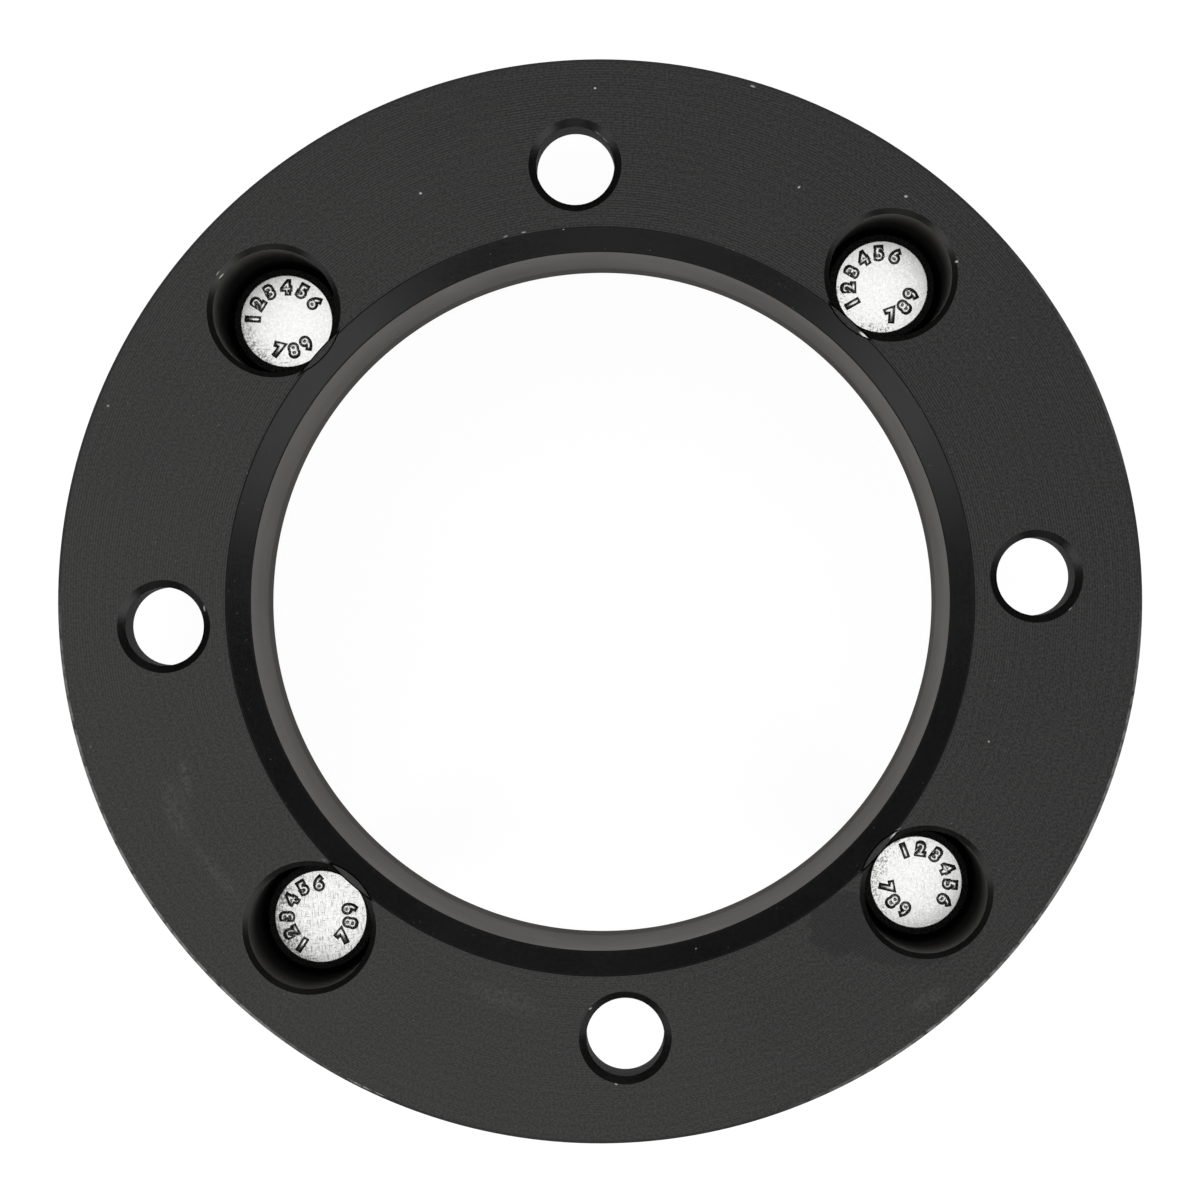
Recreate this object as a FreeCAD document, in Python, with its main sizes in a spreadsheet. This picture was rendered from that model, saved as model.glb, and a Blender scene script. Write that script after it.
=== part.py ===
import FreeCAD, Part

import os

import Sketcher

OUTPUT_FOLDER = "parts"
HOLES_PER_PATTERN = 4
SERRATION_COUNT = 30
FULL_TURN = 360

# Each driving size is a name, a value in millimetres or degrees, and what it measures
SIZES = (
    ("ring_diameter", 170.0, "outside of the ring"),
    ("ring_thickness", 38.1, "from the hub face to the wheel face"),
    ("edge_break", 0.5, "45 degree break on both outer edges of the ring"),
    ("bore_diameter", 110.2, "centre bore round the nose of the hub"),
    ("bore_lead_in", 3.7, "45 degree chamfer of the bore at the hub face"),
    ("bore_exit", 1.0, "45 degree chamfer of the bore at the wheel face"),
    ("bolt_circle", 137.0, "diameter through the centres of all eight holes"),
    ("hub_stud_diameter", 12.0, "stud of the hub that comes through the ring"),
    ("hub_stud_gap", 0.15, "radial gap round a stud of the hub"),
    ("hub_hole_chamfer", 1.15, "45 degree chamfer of a hub hole at the hub face"),
    ("nut_seat_depth", 9.8, "from the hub face to the small end of the nut seat"),
    ("nut_seat_angle", 60.0, "included angle of the conical nut seat"),
    ("nut_pocket_diameter", 23.0, "room for the nut and its socket"),
    ("nut_pocket_chamfer", 0.5, "45 degree chamfer of a nut pocket at the wheel face"),
    ("stud_turn", 45.0, "angle from a hub hole to the wheel stud beside it"),
    ("stud_floor", 13.2, "metal between a stud head and the wheel face"),
    ("stud_pocket_chamfer", 0.85, "45 degree chamfer of a stud pocket at the hub face"),
    ("stud_hole_chamfer", 0.8, "45 degree chamfer of a stud hole at the wheel face"),
    ("head_gap", 1.075, "radial gap between a stud head and its pocket"),
    ("head_diameter", 17.15, "outside of a stud head"),
    ("head_height", 5.0, "thickness of a stud head"),
    ("head_top_chamfer", 1.155, "how far the sloped edge reaches in from the rim of the head"),
    ("head_top_drop", 0.8, "how far the sloped edge falls from the flat of the head"),
    ("thread_diameter", 12.0, "outside of the thread of a wheel stud"),
    ("thread_depth", 0.6, "how far the bare neck lies below the top of the thread"),
    ("shank_length", 45.0, "from the seat of the head to the tip of the stud"),
    ("tip_chamfer", 0.9, "45 degree chamfer at the tip of the stud"),
    ("neck_length", 3.0, "bare neck between the serrations and the thread"),
    ("serration_rise", 0.5, "how far the serrations stand above the shank"),
    ("serration_land", 0.43, "width of the flat crest of a serration"),
    ("serration_flank", 45.0, "angle of each flank of a serration to its middle plane"),
    ("serration_root", 0.3, "how deep the foot of a serration is sunk in the shank"),
    ("serration_length", 10.0, "length of the serrated band, from the seat of the head down"),
)

# Radii and heights that several outlines share
RING_RADIUS = "Sizes.ring_diameter / 2"
BORE_RADIUS = "Sizes.bore_diameter / 2"
CIRCLE_RADIUS = "Sizes.bolt_circle / 2"
HUB_HOLE_RADIUS = "(Sizes.hub_stud_diameter / 2 + Sizes.hub_stud_gap)"
NUT_POCKET_RADIUS = "Sizes.nut_pocket_diameter / 2"
NUT_SEAT_RISE = f"(({NUT_POCKET_RADIUS} - {HUB_HOLE_RADIUS}) / tan(Sizes.nut_seat_angle / 2))"
HEAD_RADIUS = "Sizes.head_diameter / 2"
THREAD_RADIUS = "Sizes.thread_diameter / 2"
CREST_RADIUS = f"({THREAD_RADIUS} + Sizes.serration_rise)"
NECK_RADIUS = f"({THREAD_RADIUS} - Sizes.thread_depth)"
STUD_POCKET_RADIUS = f"({HEAD_RADIUS} + Sizes.head_gap)"
STUD_POCKET_DEPTH = "(Sizes.ring_thickness - Sizes.stud_floor)"
THREAD_START = "(Sizes.serration_length + Sizes.neck_length)"

VOLUME_TOLERANCE = 1e-6


def add_sizes(document):
    """Write the driving sizes to a sheet, one row each: name, value, meaning."""
    sheet = document.addObject("Spreadsheet::Sheet", "Sizes")
    for row, (alias, size, meaning) in enumerate(SIZES, start=1):
        sheet.set(f"A{row}", alias)
        sheet.set(f"B{row}", str(size))
        sheet.set(f"C{row}", meaning)
        sheet.setAlias(f"B{row}", alias)
    document.recompute()
    return sheet


def value_of(body, expression):
    """Give the present value of an expression on the sheet, as a plain number."""
    return float(body.Document.Sizes.evalExpression(expression))


def origin_feature(body, role):
    """Find one of the body's own origin planes or axes."""
    return next(feature for feature in body.Origin.OriginFeatures if feature.Role == role)


def place_corner(sketch, index, axis, expression):
    """Tie one coordinate of a corner to the sheet, or to the sketch axis where it is nought."""
    other_axis = {"X": -2, "Y": -1}[axis]
    if expression == "0":
        sketch.addConstraint(Sketcher.Constraint("PointOnObject", index, 1, other_axis))
        return
    start = sketch.getPoint(index, 1)
    distance = {"X": start.x, "Y": start.y}[axis]
    constraint = Sketcher.Constraint(f"Distance{axis}", -1, 1, index, 1, distance)
    number = sketch.addConstraint(constraint)
    sketch.setExpression(f"Constraints[{number}]", expression)


def draw_outline(body, name, plane, corners):
    """Draw a closed outline of straight lines on one of the body's planes.

    Each corner is a pair of expressions, across and up from the origin of the sketch.
    """
    sketch = body.newObject("Sketcher::SketchObject", name)
    sketch.AttachmentSupport = (origin_feature(body, plane), [""])
    sketch.MapMode = "FlatFace"
    points = [FreeCAD.Vector(value_of(body, across), value_of(body, up), 0) for across, up in corners]
    following = points[1:] + points[:1]
    for start, end in zip(points, following):
        sketch.addGeometry(Part.LineSegment(start, end), False)
    for index in range(len(points)):
        after = (index + 1) % len(points)
        sketch.addConstraint(Sketcher.Constraint("Coincident", index, 2, after, 1))
    for index, (across, up) in enumerate(corners):
        place_corner(sketch, index, "X", across)
        place_corner(sketch, index, "Y", up)
    return sketch


def turn_about_own_axis(body, kind, name, sketch):
    """Sweep an outline a full turn about the upright axis of its sketch."""
    feature = body.newObject(f"PartDesign::{kind}", name)
    feature.Profile = sketch
    feature.ReferenceAxis = (sketch, ["V_Axis"])
    feature.Angle = FULL_TURN
    body.Document.recompute()
    return feature


def repeat_about_axis(body, name, feature, count):
    """Repeat a feature evenly about the body's own upright axis."""
    pattern = body.newObject("PartDesign::PolarPattern", name)
    pattern.Originals = [feature]
    pattern.Axis = (origin_feature(body, "Z_Axis"), [""])
    pattern.Angle = FULL_TURN
    pattern.Occurrences = count
    body.Tip = pattern
    body.Document.recompute()
    return pattern


def require_removed(before, after):
    """Stop if a cut took nothing away."""
    if after.Shape.Volume > before.Shape.Volume - VOLUME_TOLERANCE:
        raise RuntimeError(f"{after.Label} took nothing from {before.Label}")


def require_added(before, after):
    """Stop if a raised feature added nothing."""
    if after.Shape.Volume < before.Shape.Volume + VOLUME_TOLERANCE:
        raise RuntimeError(f"{after.Label} added nothing to {before.Label}")


def turn_ring_blank(body):
    """Turn the plain ring: hub face up, broken outer edges, chamfered bore."""
    section = draw_outline(body, "ring_section", "XZ_Plane", (
        (f"{BORE_RADIUS} + Sizes.bore_lead_in", "0"),
        (f"{RING_RADIUS} - Sizes.edge_break", "0"),
        (RING_RADIUS, "-Sizes.edge_break"),
        (RING_RADIUS, "Sizes.edge_break - Sizes.ring_thickness"),
        (f"{RING_RADIUS} - Sizes.edge_break", "-Sizes.ring_thickness"),
        (f"{BORE_RADIUS} + Sizes.bore_exit", "-Sizes.ring_thickness"),
        (BORE_RADIUS, "Sizes.bore_exit - Sizes.ring_thickness"),
        (BORE_RADIUS, "-Sizes.bore_lead_in"),
    ))
    return turn_about_own_axis(body, "Revolution", "ring_blank", section)


def cut_hub_holes(body, blank):
    """Cut the stepped hub holes: chamfer, plain land, conical nut seat and nut pocket."""
    section = draw_outline(body, "hub_hole_section", "XZ_Plane", (
        ("0", "0"),
        (f"{HUB_HOLE_RADIUS} + Sizes.hub_hole_chamfer", "0"),
        (HUB_HOLE_RADIUS, "-Sizes.hub_hole_chamfer"),
        (HUB_HOLE_RADIUS, "-Sizes.nut_seat_depth"),
        (NUT_POCKET_RADIUS, f"-(Sizes.nut_seat_depth + {NUT_SEAT_RISE})"),
        (NUT_POCKET_RADIUS, "Sizes.nut_pocket_chamfer - Sizes.ring_thickness"),
        (f"{NUT_POCKET_RADIUS} + Sizes.nut_pocket_chamfer", "-Sizes.ring_thickness"),
        ("0", "-Sizes.ring_thickness"),
    ))
    section.setExpression("AttachmentOffset.Base.x", CIRCLE_RADIUS)
    hole = turn_about_own_axis(body, "Groove", "hub_hole", section)
    require_removed(blank, hole)
    holes = repeat_about_axis(body, "hub_holes", hole, HOLES_PER_PATTERN)
    require_removed(hole, holes)
    return holes


def cut_stud_holes(body, blank):
    """Cut the holes of the wheel studs: a deep head pocket over a plain hole that the serrations bite."""
    floor = f"-{STUD_POCKET_DEPTH}"
    section = draw_outline(body, "stud_hole_section", "XZ_Plane", (
        ("0", "0"),
        (f"{STUD_POCKET_RADIUS} + Sizes.stud_pocket_chamfer", "0"),
        (STUD_POCKET_RADIUS, "-Sizes.stud_pocket_chamfer"),
        (STUD_POCKET_RADIUS, floor),
        (CREST_RADIUS, floor),
        (CREST_RADIUS, "Sizes.stud_hole_chamfer - Sizes.ring_thickness"),
        (f"{CREST_RADIUS} + Sizes.stud_hole_chamfer", "-Sizes.ring_thickness"),
        ("0", "-Sizes.ring_thickness"),
    ))
    section.setExpression("AttachmentOffset.Base.x", f"{CIRCLE_RADIUS} * cos(Sizes.stud_turn)")
    section.setExpression("AttachmentOffset.Base.z", f"-{CIRCLE_RADIUS} * sin(Sizes.stud_turn)")
    section.AttachmentOffset = FreeCAD.Placement(
        FreeCAD.Vector(),
        FreeCAD.Rotation(FreeCAD.Vector(0, 1, 0), value_of(body, "Sizes.stud_turn")),
    )
    section.setExpression("AttachmentOffset.Rotation.Angle", "Sizes.stud_turn")
    hole = turn_about_own_axis(body, "Groove", "stud_hole", section)
    require_removed(blank, hole)
    holes = repeat_about_axis(body, "stud_holes", hole, HOLES_PER_PATTERN)
    require_removed(hole, holes)
    return holes


def make_ring(document):
    """Make the ring, with its hub face on the ground plane of the frame."""
    body = document.addObject("PartDesign::Body", "spacer_ring")
    body.Label = "spacer_ring"
    blank = turn_ring_blank(body)
    drilled = cut_hub_holes(body, blank)
    cut_stud_holes(body, drilled)
    body.Placement = FreeCAD.Placement()
    return body


def turn_stud_blank(body):
    """Turn the stud: head above its seat, then plain shank, bare neck and thread below it."""
    section = draw_outline(body, "stud_section", "XZ_Plane", (
        ("0", "Sizes.head_height"),
        (f"{HEAD_RADIUS} - Sizes.head_top_chamfer", "Sizes.head_height"),
        (HEAD_RADIUS, "Sizes.head_height - Sizes.head_top_drop"),
        (HEAD_RADIUS, "0"),
        (THREAD_RADIUS, "0"),
        (THREAD_RADIUS, "-Sizes.serration_length"),
        (NECK_RADIUS, "-Sizes.serration_length"),
        (NECK_RADIUS, f"-{THREAD_START}"),
        (THREAD_RADIUS, f"-({THREAD_START} + Sizes.thread_depth)"),
        (THREAD_RADIUS, "Sizes.tip_chamfer - Sizes.shank_length"),
        (f"{THREAD_RADIUS} - Sizes.tip_chamfer", "-Sizes.shank_length"),
        ("0", "-Sizes.shank_length"),
    ))
    return turn_about_own_axis(body, "Revolution", "stud_blank", section)


def raise_serrations(body, blank):
    """Raise straight ridges round the shank, with both corners of each crest on the wall of the hole."""
    half_land = "(Sizes.serration_land / 2)"
    crest = f"sqrt({CREST_RADIUS} ^ 2 - {half_land} ^ 2)"
    foot = f"({THREAD_RADIUS} - Sizes.serration_root)"
    half_foot = f"({half_land} + ({crest} - {foot}) * tan(Sizes.serration_flank))"
    section = draw_outline(body, "serration_section", "XY_Plane", (
        (foot, f"-{half_foot}"),
        (crest, f"-{half_land}"),
        (crest, half_land),
        (foot, half_foot),
    ))
    ridge = body.newObject("PartDesign::Pad", "serration")
    ridge.Profile = section
    ridge.setExpression("Length", "Sizes.serration_length")
    ridge.Reversed = True
    body.Document.recompute()
    require_added(blank, ridge)
    ridges = repeat_about_axis(body, "serrations", ridge, SERRATION_COUNT)
    require_added(ridge, ridges)
    return ridges


def make_stud(document, number):
    """Make one wheel stud, seated on the floor of its own pocket."""
    body = document.addObject("PartDesign::Body", f"wheel_stud_{number}")
    body.Label = f"wheel_stud_{number}"
    raise_serrations(body, turn_stud_blank(body))
    step = FULL_TURN / HOLES_PER_PATTERN
    angle = f"(Sizes.stud_turn + {step * (number - 1)})"
    body.Placement = FreeCAD.Placement(
        FreeCAD.Vector(), FreeCAD.Rotation(FreeCAD.Vector(0, 0, 1), value_of(body, angle))
    )
    body.setExpression("Placement.Base.x", f"{CIRCLE_RADIUS} * cos({angle})")
    body.setExpression("Placement.Base.y", f"{CIRCLE_RADIUS} * sin({angle})")
    body.setExpression("Placement.Base.z", f"-{STUD_POCKET_DEPTH}")
    body.setExpression("Placement.Rotation.Angle", angle)
    return body


def require_sound(document, bodies):
    """Stop if an object failed to compute or a piece isn't one whole solid."""
    for item in document.Objects:
        if "Invalid" in item.State or "Error" in item.State:
            raise RuntimeError(f"{item.Label} is {item.State}")
    for body in bodies:
        shape = body.Shape
        if shape.isNull() or not shape.isValid() or len(shape.Solids) != 1:
            raise RuntimeError(f"{body.Label} is not one valid solid")


def main():
    """Build the document and write one file for each piece."""
    document = FreeCAD.newDocument("wheel_spacer")
    add_sizes(document)
    bodies = [make_ring(document)]
    for number in range(1, HOLES_PER_PATTERN + 1):
        bodies.append(make_stud(document, number))
    document.recompute()
    require_sound(document, bodies)
    os.makedirs(OUTPUT_FOLDER, exist_ok=True)
    for body in bodies:
        body.Shape.exportStep(os.path.join(OUTPUT_FOLDER, f"{body.Label}.step"))
        box = body.Shape.BoundBox
        print(f"{body.Label}: {body.Shape.Volume / 1000:.2f} cm3, z {box.ZMin:.2f} to {box.ZMax:.2f}")


main()
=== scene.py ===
"""Wheel spacer with press-in studs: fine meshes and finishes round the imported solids."""
import logging
import math
from dataclasses import dataclass
from enum import Enum
from typing import Any, Iterable, Sequence, Union

import bmesh
import bpy
from mathutils import Matrix, Vector


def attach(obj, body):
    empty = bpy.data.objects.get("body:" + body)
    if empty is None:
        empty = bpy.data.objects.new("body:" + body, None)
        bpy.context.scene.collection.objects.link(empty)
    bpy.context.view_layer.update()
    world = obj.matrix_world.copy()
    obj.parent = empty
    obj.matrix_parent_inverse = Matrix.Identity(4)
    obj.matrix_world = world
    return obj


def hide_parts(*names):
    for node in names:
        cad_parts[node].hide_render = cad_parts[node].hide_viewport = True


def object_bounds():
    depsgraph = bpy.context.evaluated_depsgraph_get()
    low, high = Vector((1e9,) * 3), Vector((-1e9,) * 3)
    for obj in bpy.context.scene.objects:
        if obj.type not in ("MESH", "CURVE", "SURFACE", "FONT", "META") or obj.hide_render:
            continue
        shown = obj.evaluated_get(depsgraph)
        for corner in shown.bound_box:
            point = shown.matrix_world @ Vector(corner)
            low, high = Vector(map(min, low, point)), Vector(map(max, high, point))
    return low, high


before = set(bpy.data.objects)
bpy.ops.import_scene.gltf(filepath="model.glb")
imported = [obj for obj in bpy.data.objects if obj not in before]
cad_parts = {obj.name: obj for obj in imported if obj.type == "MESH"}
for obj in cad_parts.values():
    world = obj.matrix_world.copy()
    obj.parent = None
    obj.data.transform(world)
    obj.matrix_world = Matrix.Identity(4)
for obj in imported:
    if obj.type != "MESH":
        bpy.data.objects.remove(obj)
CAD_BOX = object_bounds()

LOG = logging.getLogger("wheel_spacer")
BODY = "root"
MM = 0.001
TURN = 2 * math.pi
WELD = 0.002 * MM

Point = tuple[float, float]
Colour = tuple[float, float, float]
Socket = bpy.types.NodeSocket
Number = Union[float, "Value"]

BLACK: Colour = (0.0, 0.0, 0.0)
# Colour of nicks and smears, and of the painted highlights that are laid as marks on edges and on the rim.
BARE_METAL_AND_GLINT: Colour = (0.75, 0.75, 0.72)
# Painted highlight laid in broken lines along the corners of the pocket walls.
PAINTED_GLINT_DYE: Colour = (0.5, 0.5, 0.46)
# Painted highlight: the lighter tone of the rim's top edge where it faces the low lamps.
PAINTED_RIM_HIGHLIGHT: Colour = (0.45, 0.45, 0.43)
DUST_GRAINS: Colour = (0.6, 0.6, 0.57)
# Painted light: the lighter tone of the face towards its lower left side.
PAINTED_SIDE_LIGHT: Colour = (0.09, 0.09, 0.086)
PAPER: Colour = (0.8, 0.8, 0.8)
WHITE: Colour = (1.0, 1.0, 1.0)

CLOUD_SCALE = 55.0
PATCH_SCALE = 90.0
WANDER_SCALE = 160.0
CORNER_SCALE = 240.0
FORGED_SCALE = 260.0
RAGGED_SCALE = 700.0
SMEAR_SCALE = 1100.0
GRAIN_SCALE = 2600.0
PIT_SCALE = 4200.0
DRAWN_SCRATCHES = (7000.0, 700.0, 900.0)
CROSSED_SCRATCHES = (900.0, 6400.0, 900.0)
SEAM_TURN = 0.011
SEAM_SPREAD = 97.0
NUT_SEAT_HALF_ANGLE = math.radians(30)


class Slot(Enum):
    """Material slots of the record."""

    RING = "black_anodised"
    STUD = "stud_steel"


class Value:
    """A number that varies over a surface, written with Python's operators."""

    def __init__(self, tree: "Tree", socket: Socket) -> None:
        """Wrap an output of a tree that gives a number."""
        self.tree = tree
        self.socket = socket

    def math(self, operation: str, *others: Number, clamp: bool = False) -> "Value":
        """Put this value through a Math node.

        Args:
            operation: The node's operation.
            others: The other inputs, in order.
            clamp: Keep the result from 0 to 1.

        Returns:
            The result.
        """
        inputs = dict(enumerate((self, *others)))
        node = self.tree.node("ShaderNodeMath", {"operation": operation, "use_clamp": clamp}, inputs)
        return Value(self.tree, node.outputs[0])

    def __add__(self, other: Number) -> "Value":
        """Add."""
        return self.math("ADD", other)

    def __radd__(self, other: float) -> "Value":
        """Add to a plain number."""
        return self + other

    def __sub__(self, other: Number) -> "Value":
        """Subtract."""
        return self.math("SUBTRACT", other)

    def __mul__(self, other: Number) -> "Value":
        """Multiply."""
        return self.math("MULTIPLY", other)

    def __truediv__(self, other: Number) -> "Value":
        """Divide."""
        return self.math("DIVIDE", other)

    def __pow__(self, other: Number) -> "Value":
        """Raise to a power."""
        return self.math("POWER", other)

    def wave(self) -> "Value":
        """Sine of this value, which is an angle."""
        return self.math("SINE")

    def largest(self, other: Number) -> "Value":
        """The larger of this and another."""
        return self.math("MAXIMUM", other)

    def size(self) -> "Value":
        """This value without its sign."""
        return self.math("ABSOLUTE")

    def clamped(self) -> "Value":
        """This value, kept from 0 to 1."""
        return self.math("ADD", 0.0, clamp=True)

    def fade(self, low: float, high: float) -> "Value":
        """Go smoothly from 0 to 1 as this value goes from low to high.

        Args:
            low: Where the result is 0. It may be above high.
            high: Where the result is 1.

        Returns:
            The smooth step.
        """
        settings = {"interpolation_type": "SMOOTHSTEP", "clamp": True}
        inputs = {"Value": self, "From Min": low, "From Max": high, "To Min": 0.0, "To Max": 1.0}
        if low > high:
            inputs.update({"From Min": high, "From Max": low, "To Min": 1.0, "To Max": 0.0})
        node = self.tree.node("ShaderNodeMapRange", settings, inputs)
        return Value(self.tree, node.outputs[0])


class Tree:
    """The nodes of one material or world."""

    def __init__(self, tree: bpy.types.NodeTree) -> None:
        """Start from an empty tree."""
        self.tree = tree
        tree.nodes.clear()

    def node(self, kind: str, settings: dict[str, Any], inputs: dict[Any, Any]) -> bpy.types.Node:
        """Add any node.

        Args:
            kind: The node's type.
            settings: Its settings, set before its sockets.
            inputs: What each socket, by name or number, holds or is linked to.

        Returns:
            The node.
        """
        made = self.tree.nodes.new(kind)
        for name, setting in settings.items():
            setattr(made, name, setting)
        for name, source in inputs.items():
            self.feed(made.inputs[name], source)
        return made

    def feed(self, socket: Socket, source: Any) -> None:
        """Link a socket to a value or another socket, or set what it holds.

        Args:
            socket: The input.
            source: A value, a socket, a colour or a plain setting.
        """
        if isinstance(source, Value):
            self.tree.links.new(source.socket, socket)
        elif isinstance(source, Socket):
            self.tree.links.new(source, socket)
        elif socket.type == "RGBA" and len(source) == 3:
            socket.default_value = (*source, 1.0)
        else:
            socket.default_value = source

    def place(self, offset: Sequence[float] = (0, 0, 0), stretch: Sequence[float] = (1, 1, 1)) -> Socket:
        """Object coordinates in metres, moved and stretched by a Mapping node.

        Args:
            offset: What is added to the place.
            stretch: What each axis is multiplied by.

        Returns:
            The vector socket.
        """
        coordinates = self.node("ShaderNodeTexCoord", {}, {})
        mapping = self.node("ShaderNodeMapping", {"vector_type": "POINT"}, {
            "Vector": coordinates.outputs["Object"], "Location": offset, "Scale": stretch,
        })
        return mapping.outputs[0]

    def axes(self, vector: Socket) -> tuple["Value", "Value", "Value"]:
        """Split a vector into its three numbers."""
        node = self.node("ShaderNodeSeparateXYZ", {}, {0: vector})
        return tuple(Value(self, output) for output in node.outputs)

    def noise(self, vector: Socket, scale: float, detail: float = 2.0, rough: float = 0.5) -> "Value":
        """Smooth noise round 0.5, with this many features to a metre."""
        node = self.node("ShaderNodeTexNoise", {"noise_dimensions": "3D"}, {
            "Vector": vector, "Scale": scale, "Detail": detail, "Roughness": rough,
        })
        return Value(self, node.outputs[0])

    def cells(self, vector: Socket, scale: float) -> tuple["Value", "Value"]:
        """Scatter points.

        Args:
            vector: The place.
            scale: Points to a metre.

        Returns:
            The distance to the nearest point and a random number of its own.
        """
        node = self.node("ShaderNodeTexVoronoi", {"feature": "F1"}, {"Vector": vector, "Scale": scale})
        random = self.node("ShaderNodeSeparateXYZ", {}, {0: node.outputs["Color"]})
        return Value(self, node.outputs["Distance"]), Value(self, random.outputs[0])

    def spot(self, centre: Sequence[float], reach: Sequence[float], turn: float = 0.0) -> "Value":
        """One soft-edged oval spot.

        Args:
            centre: Its middle, in metres.
            reach: Its half sizes along its own axes.
            turn: How far its long axis is turned about Z.

        Returns:
            1 in the middle, 0 outside.
        """
        coordinates = self.node("ShaderNodeTexCoord", {}, {})
        moved = self.node("ShaderNodeMapping", {"vector_type": "TEXTURE"}, {
            "Vector": coordinates.outputs["Object"], "Location": centre,
            "Rotation": (0.0, 0.0, turn), "Scale": reach,
        })
        length = self.node("ShaderNodeVectorMath", {"operation": "LENGTH"}, {0: moved.outputs[0]})
        return Value(self, length.outputs["Value"]).fade(1.0, 0.3)

    def blend(self, factor: Number, first: Any, second: Any) -> Socket:
        """Mix two colours or colour sockets: a factor of 0 gives the first and 1 the second."""
        node = self.node("ShaderNodeMix", {"data_type": "RGBA"}, {"Factor": factor, "A": first, "B": second})
        return node.outputs["Result"]

    def bump(self, height: "Value", depth: float) -> Socket:
        """Turn a height of about 0 to 1, where 1 stands for a depth in metres, into a normal."""
        inputs = {"Height": height, "Distance": depth, "Strength": 1.0}
        return self.node("ShaderNodeBump", {}, inputs).outputs[0]

    def surface(self, **sockets: Any) -> None:
        """Finish the material with one Principled shader.

        Args:
            sockets: Socket names with underscores for spaces, and what each holds.
        """
        inputs = {name.replace("_", " "): source for name, source in sockets.items()}
        shader = self.node("ShaderNodeBsdfPrincipled", {}, inputs)
        self.node("ShaderNodeOutputMaterial", {}, {"Surface": shader.outputs[0]})


def new_material(name: str, viewport: Colour) -> tuple[bpy.types.Material, Tree]:
    """Make an empty material.

    Args:
        name: Its name.
        viewport: Its plain colour in other viewers.

    Returns:
        The material and its node tree.
    """
    material = bpy.data.materials.new(name)
    material.use_nodes = True
    material.diffuse_color = (*viewport, 1.0)
    return material, Tree(material.node_tree)


class Lay(Enum):
    """Which way the tool lines of a turned surface repeat."""

    FACE = "across a flat face, ring inside ring"
    WALL = "along a wall, one above the other"


@dataclass(frozen=True)
class Mark:
    """A nick, dust grain, smear, wiped patch or painted highlight on the ring.

    Args:
        x: Place along X in millimetres.
        y: Place along Y in millimetres.
        length: Half length in millimetres.
        width: Half width in millimetres.
        turn: Direction of the length in degrees.
        strength: How far it changes the colour.
        depth: How far below the hub face it lies, in millimetres.
        height: Half height in millimetres.
    """

    x: float
    y: float
    length: float
    width: float
    turn: float
    strength: float
    depth: float = 0.0
    height: float = 1.2

    def spot(self, tree: Tree) -> Value:
        """Make its soft-edged oval."""
        reach = (self.length * MM, self.width * MM, self.height * MM)
        return tree.spot((self.x * MM, self.y * MM, -self.depth * MM), reach, math.radians(self.turn))


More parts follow.
